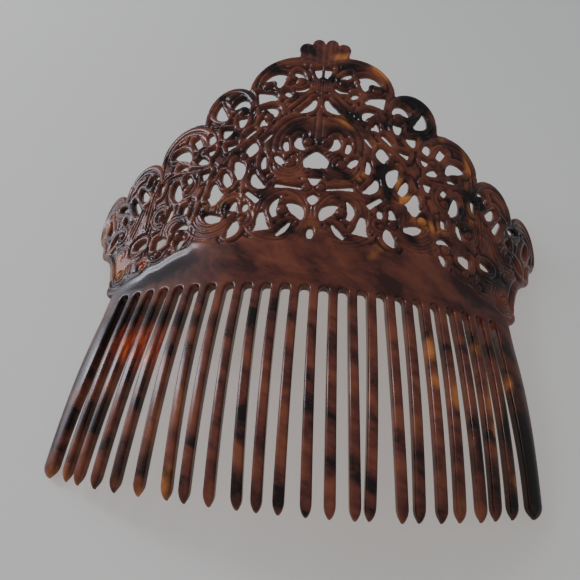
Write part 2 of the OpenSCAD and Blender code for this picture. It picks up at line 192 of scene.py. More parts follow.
# Openings of the right half; the left half is its mirror image. Each is a leaf along an arc.
# from_across, from_up, to_across, to_up, bulge, width_from, width_middle, width_to, peak
CUTS = [
    # round the two large swirls at the foot of the gallery
    [4.1, 30, 10.4, 36.8, 1.6, 0.6, 4.6, 1.8, 0.5], [14.8, 31.4, 14, 40, -1.4, 1.2, 2.6, 0.6, 0.5],
    [8.5, 28.6, 13.2, 22.6, -0.4, 0.6, 2.1, 1.4, 0.6], [20.8, 33.6, 19.9, 25, 0, 1.2, 3.4, 6.8, 0.5],
    [5.4, 44.8, 16, 46.2, 0.2, 1.2, 0.9, 2.2, 0.4], [22.6, 38.6, 28.5, 43.7, 0, 2.2, 1.7, 1.2, 0.5],
    [31.6, 30, 33.8, 22.2, -1, 1.2, 4.6, 0.8, 0.5], [27.6, 34.2, 28, 37.8, 0, 1, 2.2, 1, 0.5],
    [32.6, 39.4, 33.4, 35, 0, 0.8, 2.4, 3.6, 0.5], [38.2, 31.2, 45.8, 34.2, -0.9, 2.4, 3.8, 1.2, 0.5],
    # between the swirls and the pointed arch
    [20.4, 45.3, 26.1, 52.8, -1.6, 0.8, 3.4, 0.8, 0.5], [36.2, 47.2, 39.8, 54.8, -0.3, 1.8, 3, 0.6, 0.5],
    [44.3, 49.7, 42.5, 42.6, 0, 0.6, 3.8, 7.6, 0.5], [42.5, 43, 42.4, 38.5, 0, 7.7, 5, 1, 0.3],
    [32, 50.2, 35.4, 60.3, 1, 1.4, 4.8, 0.6, 0.5], [21.8, 54.9, 22.1, 61.5, -0.4, 1.2, 1.7, 0.6, 0.4],
    # inside the pointed arch
    [4.9, 64.8, 7.8, 71.5, -1.9, 0.6, 2.9, 1.2, 0.5], [12.7, 64, 13.6, 69.4, -0.3, 0.8, 1.9, 0.8, 0.5],
    [14.1, 57, 17.5, 61.8, 0, 1.6, 2.5, 0.8, 0.5], [2.6, 93, 9.3, 85, -1.7, 0.8, 3.6, 0.6, 0.55],
    # under the shell and the top lobe
    [2.5, 111.3, 1.7, 105.8, 0, 3.3, 2.4, 0.8, 0.4], [8.6, 105, 12.9, 108.8, 0.3, 0.6, 2.4, 1.6, 0.6],
    [17.7, 105.6, 26.8, 104.8, 1.7, 5, 4.8, 0.8, 0.3], [19.2, 105, 19.7, 100.4, 0, 4.4, 2.8, 0.8, 0.5],
    [5.8, 100.2, 11.8, 98.2, -1.1, 0.6, 2, 1.4, 0.5], [13.6, 94.4, 16.2, 97.5, 0, 1.4, 2.4, 1.2, 0.5],
    [20, 93.2, 28.6, 94.7, 0.8, 0.6, 4.8, 7.4, 0.5], [19.9, 83, 24.2, 88.2, 1.6, 0.8, 3, 0.8, 0.5],
    [24.9, 82.8, 24.8, 78.2, 0, 0.6, 2.6, 3.6, 0.5],
    # down the outside of the pointed arch
    [28.2, 76, 32.6, 72, 0, 1.9, 2, 0.8, 0.5], [20.3, 73.4, 23.5, 69, 0, 1.2, 1.4, 0.6, 0.5],
    [28.1, 69.6, 28.7, 61.9, 0, 0.8, 5.4, 0.8, 0.5], [35.8, 69.3, 40, 67.7, 0, 0.6, 1.9, 3.2, 0.5],
    # second lobe and below
    [33, 89.8, 40, 90.2, 3.2, 0.8, 4, 2.4, 0.6], [43.2, 84.6, 47.9, 94.4, -2, 1.2, 4.4, 0.6, 0.45],
    [35.1, 84.1, 34.7, 78.7, 0, 3.8, 3.6, 0.8, 0.35], [41.4, 78.4, 42.2, 73.8, 0, 5.4, 4.4, 0.8, 0.35],
    [48.2, 72, 50.7, 77.2, 0, 2.6, 3, 1.2, 0.5], [54.8, 71, 58.4, 77, 0, 1.4, 2.6, 3, 0.5],
    [48.4, 68.7, 47.8, 65.5, 0, 3.8, 2.8, 0.8, 0.4], [49.3, 61.2, 54.4, 64.6, -0.3, 0.8, 3, 1.6, 0.6],
    # third lobe and below
    [59.4, 64.6, 69.8, 69.8, 2, 0.8, 5.4, 2.2, 0.55], [59.8, 60.7, 65.1, 61.4, 0.6, 0.6, 1.9, 1.2, 0.5],
    [49.2, 56.3, 49, 52.3, 0, 4.3, 2.9, 0.8, 0.4], [56.4, 52.4, 59.1, 56, 0, 1.2, 1.9, 1, 0.5],
    [60.1, 44.2, 64.1, 53.6, -1.2, 1.6, 4.1, 1.6, 0.5], [73.7, 55.8, 73.7, 49.4, 0, 3.4, 2.7, 0.6, 0.3],
    [56.6, 36.3, 56.7, 40.5, 0, 1.7, 2.2, 1.7, 0.5], [64.9, 40.6, 66.2, 34, -0.6, 1.4, 3.3, 1.4, 0.65],
    [53.2, 28.5, 59.8, 28.4, 1.7, 0.6, 2.3, 1.5, 0.6], [55.8, 24, 55.9, 18.8, 0, 1, 3.7, 0.8, 0.35],
    [63.8, 24.2, 70, 23.9, 0, 2, 5.4, 4.4, 0.6], [76, 25.5, 82.4, 25, 0, 2.9, 3.3, 0.8, 0.4],
    # fourth lobe, end lobe and the gallery's ends
    [77.8, 60.6, 82.4, 57.6, 2.2, 1, 3.1, 1.4, 0.5], [81.7, 50.3, 89, 57, -0.8, 1.6, 3.5, 0.6, 0.5],
    [86.7, 44.2, 93.5, 52.8, 0, 2.6, 2.4, 1, 0.4], [98.4, 49.1, 105, 51.1, 0.5, 0.8, 2.7, 1.2, 0.5],
    [95, 40.7, 97.6, 43.6, 0, 1, 1.9, 1.2, 0.5], [108.6, 39.5, 112.8, 47, -0.6, 1, 2.6, 0.8, 0.5],
    [99.8, 35.8, 104.6, 31, 0.4, 0.8, 2.4, 0.8, 0.5],
]
# Power by which a leaf's width swells
LEAF_POWER = 1.6

# Raised eyes at the scrolls' ends on the right half: across, up, radius
EYES = [
    [11.9, 34.2, 2.6], [2.9, 45.3, 2.2], [3.8, 68.6, 2.5], [10.7, 57.4, 2.5], [22.6, 82.8, 2.4],
    [9.8, 103, 2.6], [25.2, 101.4, 2.8], [35.4, 87.7, 2.9], [57, 26.4, 2.5], [57.4, 48.4, 2.2], [66.4, 18, 2],
    [79, 58.4, 1.9], [96, 34.6, 2.2], [69.4, 37.2, 2.1], [88, 12.4, 2], [46, 36.6, 2.4], [33, 32, 2.3],
    [31.6, 62, 2.1],
]

# Lower eyes, no higher than the face: across, up, radius
SMALL_EYES = [[28.4, 30.3, 1.6], [73.6, 14.2, 1.5], [52.2, 67.8, 1.8], [53.4, 41, 1.7]]

# Round strands of the right half, side by side round a centre: they fill the rings between the given radii.
# flat is an ellipse's height to its width, and the radii shrink to closing from first to last angle.
# centre_across, centre_up, flat, from_degrees, to_degrees, closing, radii
SWIRLS = [
    # the two lower swirls and the loop between them
    [11.6, 33.8, 1, -50, 215, 1, 7.1, 9.5, 11, 12.4],
    [13.6, 33.4, 1, 205, 335, 1, 8.6, 10.6, 12.2, 13.4, 15.6], [28, 30.6, 1, 110, 330, 0.9, 2, 4.1, 5.6],
    [33.4, 35.4, 1.2, -40, 190, 1, 3.3, 5.6, 6.9],
    [42.4, 34.8, 1, 195, 355, 1, 5.8, 7.7, 9.1, 10.7, 12, 13.8],
    # C-scrolls at the foot of the pointed arch
    [23.4, 49.2, 1.1, 185, 395, 1, 4.2, 6.5, 8.1], [38.5, 50.2, 1.3, 95, 360, 1, 2.4, 5.1],
    # swirls on the heading's edge
    [59.6, 29, 1, -35, 168, 1, 3.2, 5.2, 6.5, 8.2], [56, 25.6, 1, 130, 315, 1, 4.4, 6.2, 7.8],
    [67, 20.5, 1, 190, 352, 1, 4.6, 6.4, 7.8], [73.6, 14.2, 1, 10, 270, 1, 1.8, 3.5, 5],
    [88, 12.6, 1, 130, 355, 1, 2.3, 4, 5.5, 7.6],
    # swirls above them
    [96.2, 35, 1, 55, 305, 1, 2.6, 5, 7.2], [92.6, 24, 0.72, 20, 255, 1, 1.4, 3.8, 6.2],
    [69.6, 37.4, 1, -115, 155, 1, 2.6, 4.6, 6.4], [58.4, 50.8, 1, 145, 350, 1, 4.4, 6.3, 8],
    # pointed arch, its inner swirl and the scroll above it
    [4, 67.5, 1, -28, 95, 1, 10.2, 12.6, 15.8, 19.4], [10.8, 57.6, 1, 115, 360, 1, 2.4, 4.4, 5.8, 7.6, 9.4],
    [22, 84.6, 1, -10, 195, 1, 4.5, 7.8],
    # lobes of the scalloped edge
    [11.8, 101, 0.8, 5, 150, 1, 15.8, 19, 22], [41.8, 88.6, 1.08, 0, 165, 1, 9.4, 13.3],
    [61.4, 67.8, 1, 5, 170, 1, 10.6, 13.2, 17.3], [87.5, 56.3, 1, 25, 175, 1, 8.4, 11, 14.6],
    [111.3, 47.4, 1.07, -50, 140, 1, 5, 7.6, 10.2, 12.8],
]

# Long strands of the right half, each along a flat arc
# from_across, from_up, to_across, to_up, bulge, width
STRANDS = [
    # between the scrolls
    [29.4, 40, 29.8, 60, -0.4, 3.6], [18.4, 86, 30.6, 71.2, -0.8, 2.4], [30.4, 70.4, 40.6, 58.6, 0.9, 2.6],
    [40.8, 57.8, 48.4, 43.6, -0.9, 2.8], [48.6, 42.6, 51.4, 27, 0.9, 3],
    # tails of the eyes
    [4.2, 29.2, 14.6, 25.2, 2.2, 2.8], [36.4, 41.6, 44.8, 36.8, -0.8, 3], [23, 103.6, 18.6, 97.6, 1, 3],
    [18.8, 98, 12.6, 91.6, -0.6, 2.8], [37, 88, 45.4, 96.4, -0.6, 2.8], [60.5, 63.6, 70.6, 66.4, 1.6, 3.2],
    [33, 64.6, 39, 64, 0.6, 2.6],
    # beneath the third lobe
    [46, 59.6, 60, 62.4, -1, 2.6], [50, 57.4, 68, 60, -0.8, 2.2], [60, 58, 76.2, 50, 3.6, 1.9],
    [76.2, 52, 76.6, 32, 0.4, 1.9], [61, 56, 74.4, 49.6, 3, 1.6], [74.6, 51, 74.9, 41, 0.3, 1.6],
    [60, 60, 78, 50.6, 4.2, 1.7], [78, 52.6, 78.4, 31, 0.6, 1.7],
    # feathers towards the gallery's ends
    [80, 46, 86, 28, -0.5, 1.8], [81.9, 46, 88, 29, -0.5, 1.8], [83.9, 46, 90, 30, -0.5, 1.8],
    [86, 44, 90.6, 34, -0.4, 1.6], [76.4, 21.4, 85, 19.4, -0.4, 1.8], [76.4, 19.2, 82, 17.2, -0.3, 1.8],
    # garland below the opening in the arch
    [-2, 53.6, 8, 50.2, 1, 1.8], [0, 51.8, 18, 47.8, -0.4, 1.8], [3.6, 47.4, 17, 49.8, 0.4, 1.6],
    # shoulders of the arch
    [2.6, 97.6, 15.2, 85.2, 0.9, 2.6], [4.6, 100.8, 17.2, 88.6, 0.9, 2.4],
    # stem, palmette and the shell's ribs
    [1.7, 25, 1.5, 38, -0.3, 2.4], [0, 87, 0, 67, 0, 3.2], [0, 93, 0, 105, 0, 1], [1, 94, 1.5, 106, 0.1, 1.1],
    [2, 95, 3, 107, 0.3, 1.2], [3.1, 96.5, 5, 108, 0.5, 1.4], [0, 111, 0, 131, 0, 3],
    [2.6, 112, 3.4, 131, 0, 3.2], [5.2, 112, 8.4, 130, 0, 3.2], [8, 112, 12.4, 124, 0, 3],
]

# Tints of the sheet, left (negative across) and right: soft ellipses of amber, of painted glowing red where
# light comes through, and of near-black
# across, up, half_length, half_width, degrees, strength
AMBER = [
    [26, 112.5, 6, 2.6, -48, 1], [11, 80, 9, 2.4, -38, 0.62], [71.5, 73, 9, 2.6, -72, 0.7],
    [57, 82.4, 2.6, 3, 0, 0.5], [38, 45.2, 4, 2, 35, 1.3], [44.5, 36.6, 4.2, 2.4, 0, 0.8],
    [35.6, 52, 4.6, 1.8, 72, 0.75], [8, 119, 5, 2.6, 20, 0.8], [-7, 127, 3.4, 2.4, 0, 0.4],
    [19, 52, 5, 3, 40, 0.5], [57, 34.4, 8, 2.4, 0, 0.5], [50, 33, 3, 4, 0, 0.4], [72, 48, 8, 3.4, 80, 0.4],
    [69, 62, 4, 3, 0, 0.35], [26, 70, 6, 3, -50, 0.35], [-93, 20, 9, 7, 60, 0.5], [-87, 13, 6, 4, 0, 0.4],
    [-116, 44, 9, 4, 80, 0.6], [-104, 31, 8, 4, 40, 0.45], [-41, 38.6, 6, 5, 0, 0.45],
    [-38, 30, 5, 4, 0, 0.3], [2, 27, 6, 4, 90, 0.35], [27, 19, 8, 3, 60, 0.3], [-85, -76, 8, 5, 80, 0.8],
    [-77, -74, 7, 3, 80, 0.9], [-70, -77, 5, 3, 80, 0.8], [-63, -79, 4, 3, 80, 0.6], [-49, -80, 3, 3, 0, 0.5],
    [-42, -79, 4, 2.6, 80, 0.9], [-35, -76, 9, 3, 85, 0.5], [-56, -60, 9, 2.4, 80, 0.55],
    [-42, -52, 9, 2.4, 85, 0.5], [-35, -46, 8, 2.4, 85, 0.35], [45, -21, 6, 2.4, 88, 0.7],
    [46, -33, 3, 2.4, 88, 0.7], [52.6, -36, 6, 2.2, 85, 0.6], [66, -14, 5, 2.4, 85, 0.5],
    [66.6, -34, 9, 2.2, 85, 0.5], [67, -46, 4, 2, 80, 0.6], [79, -26, 4, 2.2, 80, 0.4],
    [73, -62, 4, 2.4, 85, 0.4],
]
PAINTED_GLOW = [
    [-74, 14.4, 3, 2.6, 70, 1.6], [-66, 8, 5, 2, 40, 0.3], [-59.5, -27, 13, 2.4, 84, 1.1],
    [-66.6, -25, 12, 2.4, 84, 0.95], [-52.6, -31, 14, 2.4, 84, 1], [-73.4, -26, 12, 2.4, 82, 0.75],
    [-45.6, -36, 15, 2.2, 86, 0.85], [-38.6, -38, 14, 2, 86, 0.6], [-31.6, -32, 13, 1.8, 86, 0.45],
    [-90, 8, 4, 3, 0, 0.4],
]
DARK = [
    [-82, -22, 26, 5, 78, 1], [-66, -11, 14, 6, 0, 1], [-45, -15, 12, 5, 0, 0.7], [-62, 8, 28, 8, 8, 0.95],
    [-75, -52, 9, 4, 80, 0.7], [-66, -50, 9, 4, 80, 0.8], [-58, -76, 5, 4, 80, 0.7],
    [-52, -70, 8, 3, 80, 0.6], [-49, -46, 7, 3, 80, 0.5], [-42, -66, 5, 3, 80, 0.6], [-28, -17, 9, 4, 0, 0.5],
    [-14, -16, 8, 3, 0, 0.4], [-7, -60, 6, 3, 85, 0.6], [30.6, 50, 14, 3, 88, 0.9], [41, 99, 12, 5, 0, 0.9],
    [48, 92, 9, 4, -70, 0.7], [13, 113.6, 8, 3.4, 12, 0.9], [99, 40, 20, 10, 40, 0.65],
    [104, 52, 12, 6, 0, 0.5], [84, 22, 12, 6, 20, 0.6], [85, -66, 20, 6, 80, 1], [7, 75.5, 6, 3, 0, 0.7],
    [12, 23, 7, 3, 0, 0.6], [-14, 23, 8, 3, 0, 0.6], [-10, 76, 10, 5, 30, 0.7], [-36, 97, 12, 5, 0, 0.7],
    [-84, 58, 10, 6, 0, 0.6], [-58, -40, 9, 5, 80, 0.4], [66, 30, 8, 6, 0, 0.5], [50, 84, 8, 4, 30, 0.6],
    [76, 16, 8, 4, 0, 0.4], [20, -56, 8, 4, 80, 0.4], [-22, 42, 8, 4, 0, 0.5], [-60, 70, 10, 4, 60, 0.5],
    [73, -44, 12, 3, 85, 0.7], [60, -54, 10, 3, 85, 0.6], [80, -50, 14, 3, 85, 0.8], [38, -60, 8, 3, 85, 0.5],
    [52, -64, 8, 4, 85, 0.5], [70, -22, 10, 3, 85, 0.4], [66, -66, 14, 8, 80, 0.6], [86, -50, 24, 6, 80, 0.6],
    [40, -78, 12, 4, 0, 0.35], [44, -64, 12, 6, 85, 0.3], [50, -12, 14, 4, 20, 0.35],
    [74, -12, 14, 5, 10, 0.4], [24, -30, 8, 3, 88, 0.4], [-98, 34, 22, 9, 55, 0.7], [-88, 10, 8, 6, 0, 0.5],
    [-116, 50, 6, 8, 0, 0.5], [-74, 30, 14, 6, 70, 0.35], [62, -30, 26, 5, 86, 0.35],
    [80, -24, 24, 6, 80, 0.5],
]

# Upper edge of the plain heading on the right half, with the stem that rises from it
HEADING_EDGE = [
    [0, 30], [2.2, 30], [3.6, 26.6], [6, 22.4], [10, 18.9], [14, 17.7], [20, 18], [26, 19.4], [31, 18.6],
    [37, 18.2], [43, 20.2], [48.5, 21], [51, 18.6], [56, 17.2], [60, 15.4], [64, 13.2], [69, 12.4], [73, 9.4],
    [78, 8], [81.6, 6.2], [86, 4.8], [92, 5], [97, 8], [97, -20], [-10, -20], [-10, 30],
]


def lean(up):
    """Outward lean of the crest line in radians: none in the gallery, up to FLARE, easing to TIP_FLARE."""
    rise = FLARE * np.clip((BEND_START - up) / (BEND_START - BEND_MIDDLE), 0, 1)
    ease = (FLARE - TIP_FLARE) * np.clip((BEND_MIDDLE - up) / (BEND_MIDDLE - BEND_END), 0, None)
    return np.radians(rise - ease)


def crest(up):
    """Place along the axis and radius of the crest line: straight above the bend, then two arcs in a row."""
    top = math.radians(FLARE)
    bend = (BEND_START - BEND_MIDDLE) / top
    bow = (BEND_MIDDLE - BEND_END) / math.radians(FLARE - TIP_FLARE)
    angle = lean(up)
    upper = up >= BEND_MIDDLE
    along = np.where(
        upper,
        np.maximum(up, BEND_START) - bend * np.sin(angle),
        BEND_START - bend * math.sin(top) - bow * (math.sin(top) - np.sin(angle)),
    )
    radius = np.where(
        upper,
        GALLERY_RADIUS + bend * (1 - np.cos(angle)),
        GALLERY_RADIUS + bend * (1 - math.cos(top)) + bow * (np.cos(angle) - math.cos(top)),
    )
    return along, radius


def thickness(up):
    """Thickness of the sheet: even in the gallery, thicker in the heading, thinning towards the tips."""
    heights = [BEND_END, BEND_MIDDLE, HEADING_HEIGHT, HEADING_HEIGHT + THINNING]
    return np.interp(up, heights, [TIP_THICKNESS, HEADING_THICKNESS, HEADING_THICKNESS, GALLERY_THICKNESS])


def placed(across, up, depth):
    """Points of the sheet at a depth under its face, in metres: round the arch, then tilted and set down."""
    turn = across / PATTERN_RADIUS * (1 - END_EASING * (across / 100) ** 2)
    along, radius = crest(up)
    angle = lean(up)
    along = along - depth * np.sin(angle)
    radius = radius - depth * np.cos(angle)
    height = radius * np.cos(turn)
    tilt = math.radians(REST_TILT)
    y = along * math.cos(tilt) - height * math.sin(tilt) + REST_SLIDE
    z = along * math.sin(tilt) + height * math.cos(tilt) + REST_DROP
    return np.stack([radius * np.sin(turn), y, z], -1) * MM


def eased(value, low, high):
    """Smooth step from 0 at low to 1 at high."""
    share = np.clip((value - low) / (high - low), 0, 1)
    return share * share * (3 - 2 * share)


def along_arcs(rows, steps):
    """Points along flat arcs, and the arcs' unit normals there.

    An arc leaves the chord between its row's two points to the left, by a parabola as high as its bulge.
    """
    rows = np.array(rows, float)[:, None]
    u = np.linspace(0, 1, steps)
    start, end, bulge = rows[..., 0:2], rows[..., 2:4], rows[..., 4]
    length = np.linalg.norm(end - start, axis=-1, keepdims=True)
    along = (end - start) / length
    left = np.stack([-along[..., 1], along[..., 0]], -1)
    slope = (4 * bulge * (1 - 2 * u) / length[..., 0])[..., None]
    points = start + (end - start) * u[..., None] + left * (4 * bulge * u * (1 - u))[..., None]
    return points, (left - slope * along) / np.sqrt(1 + slope**2)


def leaf_outlines(rows, steps=14):
    """Outlines of leaf-shaped openings: points on both sides of an arc, at half the leaf's width from it.

    From each end to the widest place, the missing width falls as a power of the share left to go.
    """
    middle, normal = along_arcs(rows, steps)
    u = np.linspace(0, 1, steps)
    first, widest, last, peak = np.array(rows, float).T[5:, :, None]
    x = np.where(u < peak, u / peak, (1 - u) / (1 - peak))
    tip = np.where(u < peak, first, last)
    width = (tip + (widest - tip) * (1 - (1 - x) ** LEAF_POWER))[..., None]
    return np.concatenate([middle + normal * width / 2, (middle - normal * width / 2)[:, ::-1]], 1)


def segment_distance(points, start, end):
    """Distance from each point to the nearest of some segments: to the foot of its normal, kept on each."""
    span = end - start
    offset = points[:, None] - start
    share = np.clip((offset * span).sum(-1) / np.maximum((span * span).sum(-1), 1e-9), 0, 1)
    return np.sqrt(((offset - share[..., None] * span) ** 2).sum(-1).min(1))


def outline_distance(points, corners):
    """Distance from points to a closed outline, negative inside.

    A point lies inside where a ray from it to the right crosses the outline an odd number of times.
    """
    start, end = corners, np.roll(corners, -1, 0)
    near = segment_distance(points, start, end)
    rise = np.where(end[:, 1] == start[:, 1], 1, end[:, 1] - start[:, 1])
    straddles = (start[:, 1] > points[:, 1:]) != (end[:, 1] > points[:, 1:])
    crossing = start[:, 0] + (end[:, 0] - start[:, 0]) * (points[:, 1:] - start[:, 1]) / rise
    inside = (straddles & (points[:, :1] < crossing)).sum(1) % 2 == 1
    return np.where(inside, -near, near)


def round_top(distance, half_width):
    """Height of a round strand: 1 along its middle, falling as half an ellipse to 0 at its half width."""
    return np.sqrt(np.clip(1 - (distance / np.maximum(half_width, 1e-6)) ** 2, 0, None))


def swirl_height(grid, row):
    """Height of the strands that fill the rings between a swirl's radii, pointed where the swirl ends."""
    x, y, flat, start, stop, closing, *radii = row
    dx, dy = grid[..., 0] - x, (grid[..., 1] - y) / flat
    share = (np.degrees(np.arctan2(dy, dx)) - start) % 360 / (stop - start)
    share = np.where(share > 1, 1, share)
    end = np.sqrt(np.clip(np.minimum(share, 1 - share) * (stop - start) / SWIRL_POINT, 0, 1))
    away = np.hypot(dx, dy) / (1 + (closing - 1) * share)
    height = np.zeros(dx.shape)
    for k, (inner, outer) in enumerate(zip(radii, radii[1:])):
        half = (outer - inner) / 2
        strand = (1 - SECOND_LOWER * (k % 2)) * round_top(away - (inner + outer) / 2, (half + 0.05) * end)
        height = np.maximum(height, strand)
    return height


def strand_height(grid, row):
    """Height of a strand along a flat arc, narrower towards its two ends."""
    line, width = along_arcs([row], 12)[0][0], row[5]
    chosen = ((grid > line.min(0) - width) & (grid < line.max(0) + width)).all(-1)
    points = grid[chosen]
    span = line[-1] - line[0]
    share = np.clip(((points - line[0]) @ span) / (span @ span), 0, 1)
    end = np.sqrt(np.clip(np.minimum(share, 1 - share) * np.linalg.norm(span) / STRAND_POINT, 0, 1))
    height = np.zeros(grid.shape[:2])
    height[chosen] = round_top(segment_distance(points, line[:-1], line[1:]), width / 2 * end)
    return height


def blurred(field, radius, step):
    """A field smoothed by a bell curve along both axes, mirrored at its edges."""
    reach = math.ceil(3 * radius / step)
    bell = np.exp(-0.5 * (np.arange(-reach, reach + 1) * step / radius) ** 2)
    bell /= bell.sum()
    for axis in (0, 1):
        count = field.shape[axis]
        padding = [(reach, reach) if k == axis else (0, 0) for k in (0, 1)]
        padded = np.pad(field, padding, mode="reflect")
        field = sum(w * np.take(padded, range(k, k + count), axis) for k, w in enumerate(bell))
    return field


def rim(distance, radius):
    """Depth of a quarter-round edge: the radius at the edge itself, none from one radius inwards."""
    inward = np.clip(distance, 0, radius)
    return radius - np.sqrt(np.maximum(radius**2 - (radius - inward) ** 2, 0))


def ellipse(x, y, half_width, half_height, start, stop, step):
    """Points round an ellipse, from one angle to another."""
    angle = np.radians(np.arange(start, stop + 1, step))
    return np.stack([x + half_width * np.cos(angle), y + half_height * np.sin(angle)], -1)


def block(left, right, foot, top):
    """Corners of a rectangle."""
    return np.array([[left, foot], [right, foot], [right, top], [left, top]], float)


def gallery_outline():
    """Overlapping shapes whose union is the right half of the gallery and the heading above the slots."""
    shapes = [np.array(FLANK, float), ellipse(*END_LOBE, -90, 260, 8)]
    for x, y, half_width, half_height in LOBES:
        right = x + half_width
        foot = [[x - half_width, 8], [min(right, FLANK_LIMIT), 8], [right, 8 if right < FLANK_LIMIT else 24]]
        shapes.append(np.concatenate([ellipse(x, y, half_width, half_height, 0, 180, 6), foot]))
    shapes += [block(-90, GUARD_EDGE, -20, HEADING_HEIGHT), block(-90, 70, -20, 60)]
    shapes += [block(-half_width, half_width, LOBES[0][1], top) for half_width, top in SHELL_BLOCKS]
    shapes += [ellipse(x, y, r, r, 0, 345, 15) for x, y, r in SHELL]
    return shapes


def bar_half_width(field, step):
    """Half the width of the bar that each point lies in.

    It is the furthest that the field still rises on the way straight in from the nearest edge.
    """
    rise, run = np.gradient(field, step)
    steep = np.maximum(np.hypot(rise, run), 1e-6)
    row, column = np.indices(field.shape).astype(float)
    best, going = field.copy(), np.ones(field.shape, bool)
    for _ in range(round(WIDEST_HALF / step)):
        row, column = row + rise / steep * 0.5, column + run / steep * 0.5
        j = np.clip(np.round(row), 0, field.shape[0] - 1).astype(int)
        i = np.clip(np.round(column), 0, field.shape[1] - 1).astype(int)
        reached = field[j, i]
        going &= reached > best - 0.35 * step
        best = np.where(going, np.maximum(best, reached), best)
    return blurred(best, 0.45, step)


def gallery_field(cell):
    """Grid over the right half of the gallery, the distance to the nearest edge, and the bars' half widths.

    The distance is slightly smoothed. Broad bars lose WIDER of it, which widens the openings, and the eyes
    stand out over the openings that they touch.
    """
    across = np.arange(-MARGIN, math.ceil(GRID_WIDTH / cell)) * cell
    up = SEAM + np.arange(-MARGIN, math.ceil(GRID_HEIGHT / cell)) * cell
    grid = np.stack(np.meshgrid(across, up), -1)
    points = grid.reshape(-1, 2)
    outside = np.full(len(points), FAR)
    for corners in gallery_outline():
        outside = np.minimum(outside, outline_distance(points, corners))
    outside = outside.reshape(grid.shape[:2])
    field = np.full(outside.shape, FAR)
    for leaf in leaf_outlines(CUTS + MIDDLE_CUTS):
        low, high = leaf.min(0) - FAR, leaf.max(0) + FAR
        columns = np.flatnonzero((across >= low[0]) & (across <= high[0]))
        rows = np.flatnonzero((up >= low[1]) & (up <= high[1]))
        window = np.ix_(rows, columns)
        near = outline_distance(grid[window].reshape(-1, 2), leaf)
        field[window] = np.minimum(field[window], near.reshape(len(rows), len(columns)))
    field = blurred(np.minimum(field, -outside), 0.25, cell)
    half = bar_half_width(field, cell)
    field -= WIDER * eased(half, 0.8, 1.5) * (outside < -2)
    for x, y, r in EYES:
        field = np.maximum(field, r - np.hypot(grid[..., 0] - x, grid[..., 1] - y))
    return grid, field, half


def carved_height(grid, field, half, pitch):
    """Height of the carving, 1 on the strands' crests and 0 in the grooves.

    A strand a pitch wide runs beside every edge, and a bar too narrow for two has one along its middle.
    Broader places rise to a smooth mound. The drawn swirls and long strands take the place of both.
    """
    inner = np.clip(field, 0, None)
    drawn = np.zeros(field.shape)
    for height, rows in ((swirl_height, SWIRLS), (strand_height, STRANDS)):
        for row in rows:
            drawn = np.maximum(drawn, height(grid, row))
    covered = eased(blurred((drawn > 0.05).astype(float), 0.35, grid[0, 1, 0] - grid[0, 0, 0]), 0.35, 0.75)
    twofold = eased(half, 0.72 * pitch, 0.95 * pitch)
    width = np.maximum(half * (1 - twofold) + pitch / 2 * twofold, 1e-3)
    beside = eased(half, 0.2 * pitch, 0.5 * pitch) * round_top(inner - width, width)
    beside = np.maximum(beside, MOUND * eased(inner, pitch - 0.3, pitch + 1.5))
    return drawn * covered + beside * (1 - covered)


def with_eyes(depth, grid, relief, eyes, rise, moat=None):
    """A depth with a dome in each eye's circle, from the grooves' bottom to its rise above the face.

    Round the dome runs a moat, where its depth as a share of the grooves' is given.
    """
    for x, y, r in eyes:
        away = np.hypot(grid[..., 0] - x, grid[..., 1] - y)
        dome = relief - (relief + rise) * round_top(away, r)
        if moat:
            depth = np.maximum(depth, relief * moat * round_top(away - r, MOAT_WIDTH))
        depth = np.where(away < r, dome, depth)
    return depth


def gallery_depth(grid, field, half, relief, pitch, edge_radius):
    """Depth of the gallery's front below the face, and that of its carving alone, without the rounded edges.

    Towards the gallery's ends the strands get broader and lower. The shell is carved less deep, and the
    heading is plain, with a shallow hollow along its upper edge. All but the eyes is softened by a blur.
    """
    cell = grid[0, 1, 0] - grid[0, 0, 0]
    across, up = grid[..., 0], grid[..., 1]
    height = carved_height(grid, field, half, pitch * (1 + END_BROADER * eased(across, 72, 92)))
    relief = relief * (1 - END_LOWER * eased(across, 84, 104))
    height = np.maximum(height, SHELL_LEVEL * eased(up, 110, 114))
    plain = outline_distance(grid.reshape(-1, 2), np.array(HEADING_EDGE, float)).reshape(field.shape)
    height = np.maximum(height, round_top(np.clip(plain, 0, None), 0.8))
    hollow = HOLLOW * eased(-plain, 0.1, 3.6) * (1 - eased(-plain, 3.6, 11))
    hollow *= eased(across, 40, 54) * (1 - eased(across, 66, 84))
    depth = relief * (1 - height) + hollow * (plain < 0)
    for eyes, rise in ((EYES, EYE_RISE), (SMALL_EYES, 0)):
        depth = with_eyes(depth, grid, relief, eyes, rise, MOAT)
    groove = blurred(depth, SOFTNESS, cell)
    front = np.maximum(groove, FRONT_EDGE * rim(field, edge_radius))
    return with_eyes(front, grid, relief, EYES, EYE_RISE), groove


# A closed sheet: flat points, the quads and triangles of its front, the depths of front and back, the points
# on a seam between two pieces, the carving's depth, and merged faces for the back where there are any
Sheet = namedtuple("Sheet", "flat quads triangles front back seam groove merged", defaults=[None])


def open_edges(sheet):
    """Directed edges that only one front face has, by comparing each edge with all the reversed ones."""
    faces = sheet.quads, sheet.triangles
    pairs = np.concatenate([np.stack([f, np.roll(f, -1, 1)], -1).reshape(-1, 2) for f in faces])
    count = len(sheet.flat)
    forward = pairs[:, 0] * count + pairs[:, 1]
    return pairs[~np.isin(forward, pairs[:, 1] * count + pairs[:, 0])]


